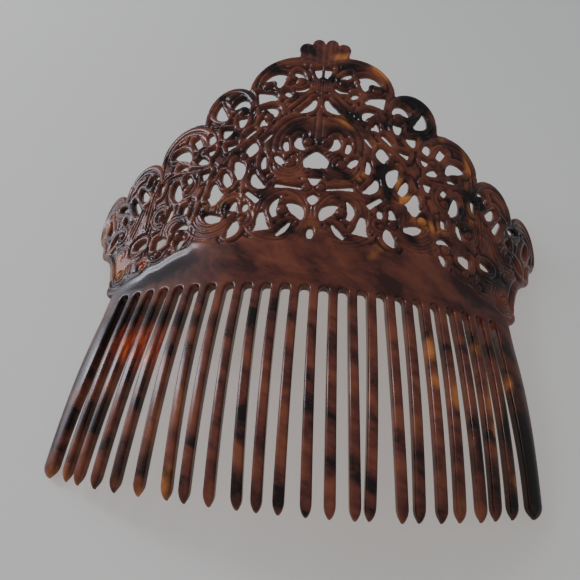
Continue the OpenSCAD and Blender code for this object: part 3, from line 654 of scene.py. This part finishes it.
def closed_faces(sheet):
    """Corners and sizes of all faces: the front, the rows of wall, and the back's faces turned round."""
    count, edge = len(sheet.flat), open_edges(sheet)
    wall = np.stack([edge[:, 1], edge[:, 0], edge[:, 0] + count, edge[:, 1] + count], -1)
    back = WALL_ROWS * count
    behind = sheet.merged[0] if sheet.merged else sheet.quads
    groups = [sheet.quads, sheet.triangles, *(wall + k * count for k in range(WALL_ROWS))]
    groups += [faces[:, ::-1] + back for faces in (behind, sheet.triangles)]
    loops = [faces.ravel() for faces in groups]
    sizes = [np.full(len(faces), faces.shape[1]) for faces in groups]
    if sheet.merged:
        corners, shown = (a[:, ::-1] for a in sheet.merged[1:])
        loops.append(corners[shown] + back)
        sizes.append(shown.sum(1))
    return np.concatenate(loops), np.concatenate(sizes)


def cell_corners(index):
    """The four corners of each cell of a grid, in order round it."""
    return np.stack([index[:-1, :-1], index[:-1, 1:], index[1:, 1:], index[1:, :-1]], -1)


def merged_back(whole, field, index):
    """Faces of the plain back: single cells, and blocks of two by two cells where they lie deep inside.

    A block's rim keeps each point that a single cell beside it also uses, so that no gap opens.
    """
    height, width = (n // 2 * 2 for n in whole.shape)
    four = whole[:height, :width].reshape(height // 2, 2, width // 2, 2).all((1, 3))
    for j, i in ((0, 0), (0, 1), (1, 0), (1, 1), (2, 2)):
        four &= field[j:j + height:2, i:i + width:2] > 1
    single = whole.copy()
    single[:height, :width] &= ~np.repeat(np.repeat(four, 2, 0), 2, 1)
    rows, columns = np.nonzero(four)
    around = np.pad(four, 1)
    # eight points round the block; a middle one is left out where the block beside it merges too
    steps = ((0, 0), (0, 1), (0, 2), (1, 2), (2, 2), (2, 1), (2, 0), (1, 0))
    corners = np.stack([index[2 * rows + j, 2 * columns + i] for j, i in steps], -1)
    shown = np.stack([(1 not in (j, i)) | ~around[rows + j, columns + i] for j, i in steps], -1)
    return cell_corners(index)[single], corners, shown


def gallery_sheets(cell, relief, pitch, edge_radius):
    """The foot and the crown of the gallery's right half, on an even grid.

    Grid points near the zero line of the distance to the edge are moved onto it along that distance's slope,
    and cells with three or four points inside are kept.
    """
    grid, field, half = gallery_field(cell)
    front, groove = gallery_depth(grid, field, half, relief, pitch, edge_radius)
    # painted shade in the grooves fades out within 0.8 of an edge, so that the edges are not darkened
    groove = np.where(field > 0.8, groove, groove * np.clip(field / 0.8, 0, 1))
    rise, run = np.gradient(field, cell)
    keep = slice(MARGIN, None)
    grid, field, front, groove, rise, run = (a[keep, keep] for a in (grid, field, front, groove, rise, run))
    run[:, 0] = 0
    rise[0] = 0
    steep = np.maximum(run**2 + rise**2, 0.2)
    close = np.abs(field) < 0.5 * cell * np.sqrt(steep)
    shift = np.where(close, field / steep, 0)
    flat = (grid - np.stack([run * shift, rise * shift], -1)).reshape(-1, 2)
    front = np.where(close, np.maximum(front, FRONT_EDGE * edge_radius), front).ravel()
    back = np.maximum(thickness(flat[:, 1]) - rim(field.ravel(), BACK_EDGE), front + 0.3)
    good = (field > 0) | close
    index = np.arange(good.size).reshape(good.shape)
    cells = cell_corners(index).reshape(-1, 4)
    inside, value = good.ravel()[cells], field.ravel()[cells]
    whole = inside.all(1) & (value.mean(1) > 0)
    three = (inside.sum(1) == 3) & ((value * inside).sum(1) > 0)
    lost = np.argmin(inside[three], 1)
    triangles = np.take_along_axis(cells[three], (lost[:, None] + np.array([1, 2, 3])) % 4, 1)
    split = round((CROWN_FOOT - SEAM) / cell / 2) * 2
    row, column = np.divmod(index, good.shape[1])
    seam = ((column == 0) | (row == 0) | (row == split)).ravel()
    sheets = []
    for part in (row < split, row >= split):
        part = part[:-1, :-1].ravel()
        merged = merged_back((whole & part).reshape(good.shape[0] - 1, -1), field, index)
        sheets.append(Sheet(
            flat, cells[whole & part], triangles[part[three]], front, back, seam, groove.ravel(), merged))
    return sheets


def tooth_half_width(number, up):
    """Half the width of a tooth: it narrows smoothly from root to tip, and rounds off in the last TAPER."""
    share_down = np.clip(-up / LENGTHS[number], 0, 1)
    width = ROOTS[number] + (TIPS[number] - ROOTS[number]) * eased(share_down, 0.3, 0.92)
    left = np.clip((up + LENGTHS[number]) / TAPER, 0, 1)
    return width * np.maximum(1 - (1 - left) ** 2.2, 0) ** 0.66


def tooth_middle(number, up):
    """Across of a tooth's middle line: it drifts by TIP_LEAN towards the tip, as a power of the way down."""
    return MIDDLES[number] + TIP_LEAN[number] * (np.maximum(-up, 0) / LENGTHS[number]) ** 1.6


def tooth_columns():
    """Each column's tooth, offset from its middle in half widths, and share of the way over the next slot."""
    tooth, offset, share = [], [], []
    for number in range(TOOTH_COUNT):
        half = np.array(GUARD_COLUMNS if GUARDS[number] else COLUMNS)
        line = np.concatenate([half - 1, (1 - half)[-2::-1]])
        gap = SLOT_COLUMNS if number < TOOTH_COUNT - 1 else []
        tooth += [number] * (len(line) + len(gap))
        offset += [*line, *[1] * len(gap)]
        share += [*[0] * len(line), *gap]
    return np.array(tooth), np.array(offset, float), np.array(share, float)


def slot_distance(tooth, offset, share, across, up, bottom):
    """Distance from the heading's rows to the slots' outlines and to the heading's two ends.

    A slot's outline is its round end and the straight sides below, down to the sixth row of the teeth.
    """
    starts, ends = [], []
    for number in range(TOOTH_COUNT - 1):
        chosen = np.flatnonzero((tooth == number) & ((share > 0) | (offset == 1)))
        chosen = np.append(chosen, chosen[-1] + 1)
        line = np.stack([across[bottom, chosen], up[bottom, chosen]], -1)
        chosen = chosen[[0, -1]]
        sides = np.stack([across[bottom + 6, chosen], up[bottom + 6, chosen]], -1)
        line = np.concatenate([sides[:1], line, sides[1:]])
        starts.append(line[:-1])
        ends.append(line[1:])
    for side in (-GUARD_EDGE, GUARD_EDGE):
        starts.append(np.array([[side, 12.0]]))
        ends.append(np.array([[side, -10.0]]))
    points = np.stack([across[:bottom + 3], up[:bottom + 3]], -1)
    near = segment_distance(points.reshape(-1, 2), np.concatenate(starts), np.concatenate(ends))
    return near.reshape(bottom + 3, -1)


def teeth_sheet(edge_radius):
    """The teeth and the foot of the heading on a grid that follows each tooth's edges.

    Columns run down the teeth, closer together towards their edges, and across the slots only above their
    round ends. Rows run across and crowd together at the tips. The distance to the nearest edge is measured
    sideways in a tooth, less where its edge slopes, and to the slots' outlines in the heading.
    """
    tooth, offset, share = tooth_columns()
    round_end = np.sqrt(np.maximum(1 - np.abs(2 * share - 1) ** 2.5, 0)) * (share > 0)
    slot_top = SLOT_ROUNDING * (round_end - 1)
    upper = slot_top + (SEAM - slot_top) * np.array(HEADING_ROWS)[:, None]
    even = np.linspace(0, 1, EVEN_ROWS)[1:] * EVEN_SHARE
    down = np.concatenate([even, 1 - np.array(TIP_ROWS) / TOOTH_LENGTH])
    lower = -SLOT_ROUNDING - (LENGTHS[tooth] - SLOT_ROUNDING) * down[:, None]
    up = np.concatenate([upper, lower])
    half = tooth_half_width(tooth, up)
    across = tooth_middle(tooth, up) + offset * half
    following = np.minimum(tooth + 1, TOOTH_COUNT - 1)
    next_edge = tooth_middle(following, up) - tooth_half_width(following, up)
    across = np.where(share > 0, across * (1 - share) + next_edge * share, across)
    slope = np.abs(np.gradient(half, axis=0) / np.gradient(up, axis=0))
    field = (1 - np.abs(offset)) * half / np.sqrt(1 + np.minimum(slope, 3) ** 2)
    bottom = len(upper) - 1
    near = slot_distance(tooth, offset, share, across, up, bottom)
    field[:len(near)] = near
    point = np.clip(1 - (up + LENGTHS[tooth]) / TAPER, 0, 1) ** 1.8
    swell = SWELL * offset**2 * half * (share == 0) * eased(-up, 1.6, 12)
    front = rim(field, edge_radius) + swell + point * FRONT_POINT
    back = np.maximum(thickness(up) - rim(field, edge_radius) - point * BACK_POINT, front + 0.25)
    index = np.arange(up.size).reshape(up.shape)
    cells = cell_corners(index[::-1])[::-1]
    cells[bottom:, (share[:-1] > 0) | (share[1:] > 0)] = -1
    cells = cells.reshape(-1, 4)
    flat = np.stack([across, up], -1).reshape(-1, 2)
    seam = (index < up.shape[1]).ravel()
    none = np.empty((0, 3), int)
    return Sheet(flat, cells[cells[:, 0] >= 0], none, front.ravel(), back.ravel(), seam, np.zeros(up.size))


def tints(place):
    """Amounts of amber, of painted glow and of dark at each place: bells over turned ellipses, added up and
    kept to 1.
    """
    amounts = []
    for rows in (AMBER, PAINTED_GLOW, DARK):
        total = np.zeros(len(place))
        for x, y, length, width, degrees, strength in rows:
            turn = math.radians(degrees)
            dx, dy = place[:, 0] - x, place[:, 1] - y
            u = (dx * math.cos(turn) + dy * math.sin(turn)) / length
            v = (dy * math.cos(turn) - dx * math.sin(turn)) / width
            total += strength * np.exp(-(u**2) - v**2)
        amounts.append(np.clip(total, 0, 1))
    return np.stack(amounts, -1)


def set_attribute(mesh, name, values, kind="FLOAT_VECTOR"):
    """An attribute of a mesh's points, read by the material."""
    data = mesh.attributes.new(name, kind, "POINT").data
    data.foreach_set("vector" if kind == "FLOAT_VECTOR" else "value", values.astype(np.float32).ravel())


def mesh_object(name, sheet, mirrored=False):
    """A mesh from a sheet, with sharp edges along its seams; a mirrored one has its faces turned."""
    shares = np.array([0, 0.25, 0.75, 1])[:, None]
    depth = (sheet.front * (1 - shares) + sheet.back * shares).ravel()
    spread = np.tile(sheet.flat, (len(shares), 1))
    loops, sizes = closed_faces(sheet)
    starts = np.cumsum(sizes) - sizes
    if mirrored:
        spread = spread * [-1, 1]
        loops = loops[np.repeat(2 * starts + sizes - 1, sizes) - np.arange(len(loops))]
    used, loops = np.unique(loops, return_inverse=True)
    spread, depth = spread[used], depth[used]
    mesh = bpy.data.meshes.new(name)
    mesh.vertices.add(len(used))
    mesh.vertices.foreach_set("co", placed(spread[:, 0], spread[:, 1], depth).astype(np.float32).ravel())
    mesh.loops.add(len(loops))
    mesh.loops.foreach_set("vertex_index", loops.astype(np.int32))
    mesh.polygons.add(len(sizes))
    mesh.polygons.foreach_set("loop_start", starts.astype(np.int32))
    mesh.update(calc_edges=True)
    mesh.validate()
    mesh.shade_smooth()
    ends = np.empty(2 * len(mesh.edges), np.int32)
    mesh.edges.foreach_get("vertices", ends)
    ends = ends.reshape(-1, 2)
    layer, point = np.divmod(used, len(sheet.flat))
    level = (layer[ends[:, 0]] == layer[ends[:, 1]]) & np.isin(layer[ends[:, 0]], (0, WALL_ROWS))
    sharp = level & sheet.seam[point][ends].all(1)
    mesh.attributes.new("sharp_edge", "BOOLEAN", "EDGE").data.foreach_set("value", sharp)
    set_attribute(mesh, "sheet_place", np.column_stack([spread, depth]))
    # the carving's depth on the front, which the material turns into painted shade in the grooves
    set_attribute(mesh, "groove", np.where(layer == 0, sheet.groove[point], 0), "FLOAT")
    set_attribute(mesh, "tint", tints(spread))
    piece = bpy.data.objects.new(name, mesh)
    bpy.context.scene.collection.objects.link(piece)
    return piece


def linear(code):
    """An sRGB hex colour as linear values, for a colour socket."""
    parts = [int(code[k:k + 2], 16) / 255 for k in (1, 3, 5)]
    return [p / 12.92 if p <= 0.04045 else ((p + 0.055) / 1.055) ** 2.4 for p in parts] + [1.0]


def add_node(tree, kind, inputs, **settings):
    """A node with its settings and its inputs: values, or pairs of another node and its output's name."""
    node = tree.nodes.new("ShaderNode" + kind)
    for name, value in settings.items():
        setattr(node, name, value)
    for name, value in inputs.items():
        if isinstance(value, tuple) and isinstance(value[0], bpy.types.Node):
            tree.links.new(value[0].outputs[value[1]], node.inputs[name])
        else:
            node.inputs[name].default_value = value
    return node


def clouds(tree, place, size, detail, roughness=0.5, distortion=0.0, shift=(0, 0, 0), turn=0.0):
    """Noise whose clouds have a size in millimetres along each axis, shifted and turned within the sheet."""
    mapped = add_node(tree, "Mapping", {
        "Vector": place, "Location": shift, "Rotation": (0, 0, turn), "Scale": size
    }, vector_type="TEXTURE")
    noise = add_node(tree, "TexNoise", {
        "Vector": (mapped, 0), "Scale": 1.0, "Detail": detail, "Roughness": roughness,
        "Distortion": distortion
    })
    return noise, "Fac"


def ramp(tree, factor, *stops):
    """A colour ramp with the given places and colours, in order."""
    node = add_node(tree, "ValToRGB", {"Fac": factor})
    elements = node.color_ramp.elements
    elements[0].position, elements[0].color = stops[0]
    elements[1].position, elements[1].color = stops[-1]
    for where, colour in stops[1:-1]:
        elements.new(where).color = colour
    return node, "Color"


def layered(tree, under, over, amount, low, high, least=0.0, most=1.0):
    """A colour over another: from least to most of it, smoothly, as an amount rises from low to high."""
    share = add_node(tree, "MapRange", {
        "Value": amount, "From Min": low, "From Max": high, "To Min": least, "To Max": most
    }, interpolation_type="SMOOTHSTEP")
    mix = add_node(tree, "Mix", {"Factor": (share, "Result"), UNDER: under, OVER: over}, data_type="RGBA")
    return mix, MIXED


def polished_celluloid(look):
    """Cast celluloid in imitation of tortoiseshell, cut, carved and polished.

    It is near-black brown with red-brown and amber clouds a few centimetres across, which are in the sheet
    and so run through the carving. The polish gives sharp reflections that turn the dark parts grey-mauve.
    A glow of light coming through the sheet, stronger on its sides, and shade at the bottom of the grooves
    are painted into its colour.
    """
    material = bpy.data.materials.new(CELLULOID)
    material.use_nodes = True
    tree = material.node_tree
    tree.nodes.clear()
    place, tint, groove = (
        (add_node(tree, "Attribute", {}, attribute_name=name), output)
        for name, output in (("sheet_place", "Vector"), ("tint", "Vector"), ("groove", "Fac")))
    dark, brown, red_brown = linear(look.dark), linear(look.brown), linear(look.red_brown)
    broad = clouds(tree, place, (21, 11, 16), 4.0, 0.6, 0.3, shift=(4, 0, 0), turn=-0.5)
    broad = ramp(tree, broad, (0.37, dark), (0.48, brown), (0.62, red_brown))
    # calmer clouds in the plain heading than in the gallery and the teeth, by the distance from its middle
    parts = add_node(tree, "SeparateXYZ", {"Vector": place})
    above = add_node(tree, "Math", {0: (parts, "Y"), 1: 7}, operation="SUBTRACT")
    away = add_node(tree, "Math", {0: (above, 0)}, operation="ABSOLUTE")
    colour = layered(tree, brown, broad, (away, 0), 8, 20, 0.7)
    # drawn patches with edges that small clouds break up, and a painted glow of light coming through, which
    # is stronger on the sheet's sides
    fine = clouds(tree, place, (5, 8, 6), 4.0, 0.65, 0.2, shift=(-18.5, -9.6, 0))
    uneven = add_node(tree, "VectorMath", {0: tint, 1: fine}, operation="ADD")
    amounts = add_node(tree, "SeparateXYZ", {"Vector": (uneven, 0)})
    flank = add_node(tree, "MapRange", {
        "Value": (parts, "Z"), "From Min": 0.3, "From Max": 1.6, "To Min": -0.5, "To Max": 0
    }, interpolation_type="SMOOTHSTEP")
    lit = add_node(tree, "Math", {0: (amounts, "Y"), 1: (flank, "Result")}, operation="ADD")
    grain = clouds(tree, place, (1.7, 9, 1.9), 3.0)
    glow = ramp(tree, grain, (0.3, dark), (0.5, linear(look.ember)), (0.72, linear(look.glow)))
    colour = layered(tree, colour, dark, (amounts, "Z"), 0.6, 1.4)
    colour = layered(tree, colour, linear(look.amber), (amounts, "X"), 0.6, 1.5)
    colour = layered(tree, colour, glow, (lit, 0), 0.6, 1.4)
    # painted shade: darker towards the bottom of the carved grooves, up to three quarters of the groove colour
    colour = layered(tree, colour, linear(look.groove), groove, 0.15, 1.0, most=0.75)
    inputs = {"Base Color": colour, "Roughness": look.roughness, "IOR": 1.5}
    shader = add_node(tree, "BsdfPrincipled", inputs)
    add_node(tree, "OutputMaterial", {"Surface": (shader, "BSDF")})
    return material


class COMB_sizes(bpy.types.PropertyGroup):
    cell: bpy.props.FloatProperty(
        name="Grid", description="Spacing of the gallery's grid points, in millimetres",
        default=0.3, min=0.25)
    relief: bpy.props.FloatProperty(
        name="Relief", description="Depth of the grooves between the strands, in millimetres", default=1.45)
    pitch: bpy.props.FloatProperty(
        name="Border", description="Width of the strand beside each opening, in millimetres", default=2.7)
    edge: bpy.props.FloatProperty(
        name="Gallery edge", description="Rounding of the gallery's edges, in millimetres", default=1.25)
    tooth_edge: bpy.props.FloatProperty(
        name="Tooth edge", description="Rounding of the teeth's edges, in millimetres", default=0.75)


class COMB_look(bpy.types.PropertyGroup):
    dark: bpy.props.StringProperty(name="Dark", description="Darkest brown, as sRGB hex", default="#1B100C")
    brown: bpy.props.StringProperty(name="Brown", description="Middle brown, as sRGB hex", default="#502C24")
    red_brown: bpy.props.StringProperty(
        name="Red-brown", description="Clouds, as sRGB hex", default="#6B3F2D")
    amber: bpy.props.StringProperty(name="Amber", description="Patches, as sRGB hex", default="#B0743C")
    # painted glow where light comes through the sheet, and its brightest painted grains
    ember: bpy.props.StringProperty(
        name="Ember", description="Where light comes through, as sRGB hex", default="#A3331A")
    glow: bpy.props.StringProperty(
        name="Glow", description="Its brightest grains, as sRGB hex", default="#FF8A36")
    # painted shade at the bottom of the grooves
    groove: bpy.props.StringProperty(
        name="Groove", description="Bottom of the grooves, as sRGB hex", default="#140A08")
    roughness: bpy.props.FloatProperty(
        name="Roughness", description="Roughness of the polish", default=0.21, subtype="FACTOR")


def finished(piece):
    """A piece with the comb's one material, on its body, in the CAD node's stead."""
    material = bpy.data.materials.get(CELLULOID) or polished_celluloid(bpy.context.scene.comb_look)
    piece.data.materials.append(material)
    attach(piece, "root")
    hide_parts("comb")


class COMB_OT_gallery(bpy.types.Operator):
    """Build the foot and the crown of the carved gallery, right and left"""

    bl_idname = "comb.gallery"
    bl_label = "Build the gallery"

    def execute(self, context):
        sizes = context.scene.comb_sizes
        sheets = gallery_sheets(sizes.cell, sizes.relief, sizes.pitch, sizes.edge)
        for part, sheet in zip(("foot", "crown"), sheets):
            finished(mesh_object(f"gallery_{part}_right", sheet))
            finished(mesh_object(f"gallery_{part}_left", sheet, mirrored=True))
        return {"FINISHED"}


class COMB_OT_teeth(bpy.types.Operator):
    """Build the heading's foot and the teeth"""

    bl_idname = "comb.teeth"
    bl_label = "Build the teeth"

    def execute(self, context):
        sheet = teeth_sheet(context.scene.comb_sizes.tooth_edge)
        finished(mesh_object("heading_and_teeth", sheet))
        return {"FINISHED"}


def floor_object():
    """A plain floor at the height that the comb rests on."""
    half = FLOOR_SIZE / 2
    mesh = bpy.data.meshes.new("floor")
    corners = [(-half, -half, 0), (half, -half, 0), (half, half, 0), (-half, half, 0)]
    mesh.from_pydata(corners, [], [(0, 1, 2, 3)])
    surface = bpy.data.materials.new("Matt pale table top")
    surface.use_nodes = True
    shader = surface.node_tree.nodes["Principled BSDF"]
    shader.inputs["Base Color"].default_value = linear(FLOOR_COLOUR)
    shader.inputs["Roughness"].default_value = FLOOR_ROUGHNESS
    mesh.materials.append(surface)
    return bpy.data.objects.new("floor", mesh)


def lamp_object(name, azimuth, elevation, distance, size, power, colour, everywhere):
    """A rectangular lamp that shines on the frame's origin."""
    data = bpy.data.lights.new(name, "AREA")
    data.shape = "RECTANGLE"
    data.size, data.size_y = size
    data.energy = power
    data.color = linear(colour)[:3]
    data.use_shadow = not everywhere
    lamp = bpy.data.objects.new(name, data)
    turn, rise = math.radians(azimuth), math.radians(elevation)
    ray = Vector((math.sin(turn) * math.cos(rise), math.cos(turn) * math.cos(rise), math.sin(rise)))
    lamp.location = ray * distance
    lamp.rotation_euler = (-ray).to_track_quat("-Z", "Y").to_euler()
    lamp.visible_glossy = not everywhere
    return lamp


class COMB_OT_stage(bpy.types.Operator):
    """Build the floor, the lights and the camera"""

    bl_idname = "comb.stage"
    bl_label = "Build the stage"

    def execute(self, context):
        scene = context.scene
        floor = floor_object()
        data = bpy.data.cameras.new("camera")
        data.lens, data.sensor_width = LENS, SENSOR_WIDTH
        data.shift_x, data.shift_y = CAMERA_SHIFT
        data.clip_start = 0.01
        camera = bpy.data.objects.new("camera", data)
        camera.location = CAMERA_PLACE
        camera.rotation_euler = [math.radians(angle) for angle in CAMERA_TURN]
        for thing in (floor, *(lamp_object(*row) for row in LAMPS), camera):
            scene.collection.objects.link(thing)
        scene.camera = camera
        scene.world = bpy.data.worlds.new("Pale room")
        scene.world.use_nodes = True
        background = scene.world.node_tree.nodes["Background"]
        background.inputs["Color"].default_value = linear(WORLD_COLOUR)
        background.inputs["Strength"].default_value = WORLD_STRENGTH
        return {"FINISHED"}


class COMB_PT_panel(bpy.types.Panel):
    bl_label = "Mantilla comb"
    bl_idname = "COMB_PT_panel"
    bl_space_type = "VIEW_3D"
    bl_region_type = "UI"
    bl_category = "Comb"

    def draw(self, context):
        for group in (context.scene.comb_sizes, context.scene.comb_look):
            for name in group.bl_rna.properties.keys():
                if name not in ("rna_type", "name"):
                    self.layout.prop(group, name)
        for kind in (COMB_OT_gallery, COMB_OT_teeth, COMB_OT_stage):
            self.layout.operator(kind.bl_idname)


CLASSES = (COMB_sizes, COMB_look, COMB_OT_gallery, COMB_OT_teeth, COMB_OT_stage, COMB_PT_panel)


def register():
    for kind in CLASSES:
        bpy.utils.register_class(kind)
    bpy.types.Scene.comb_sizes = bpy.props.PointerProperty(type=COMB_sizes)
    bpy.types.Scene.comb_look = bpy.props.PointerProperty(type=COMB_look)


def unregister():
    del bpy.types.Scene.comb_look
    del bpy.types.Scene.comb_sizes
    for kind in reversed(CLASSES):
        bpy.utils.unregister_class(kind)


def main():
    register()
    bpy.ops.comb.stage()
    bpy.ops.comb.gallery()
    bpy.ops.comb.teeth()


if __name__ == "__main__":
    main()
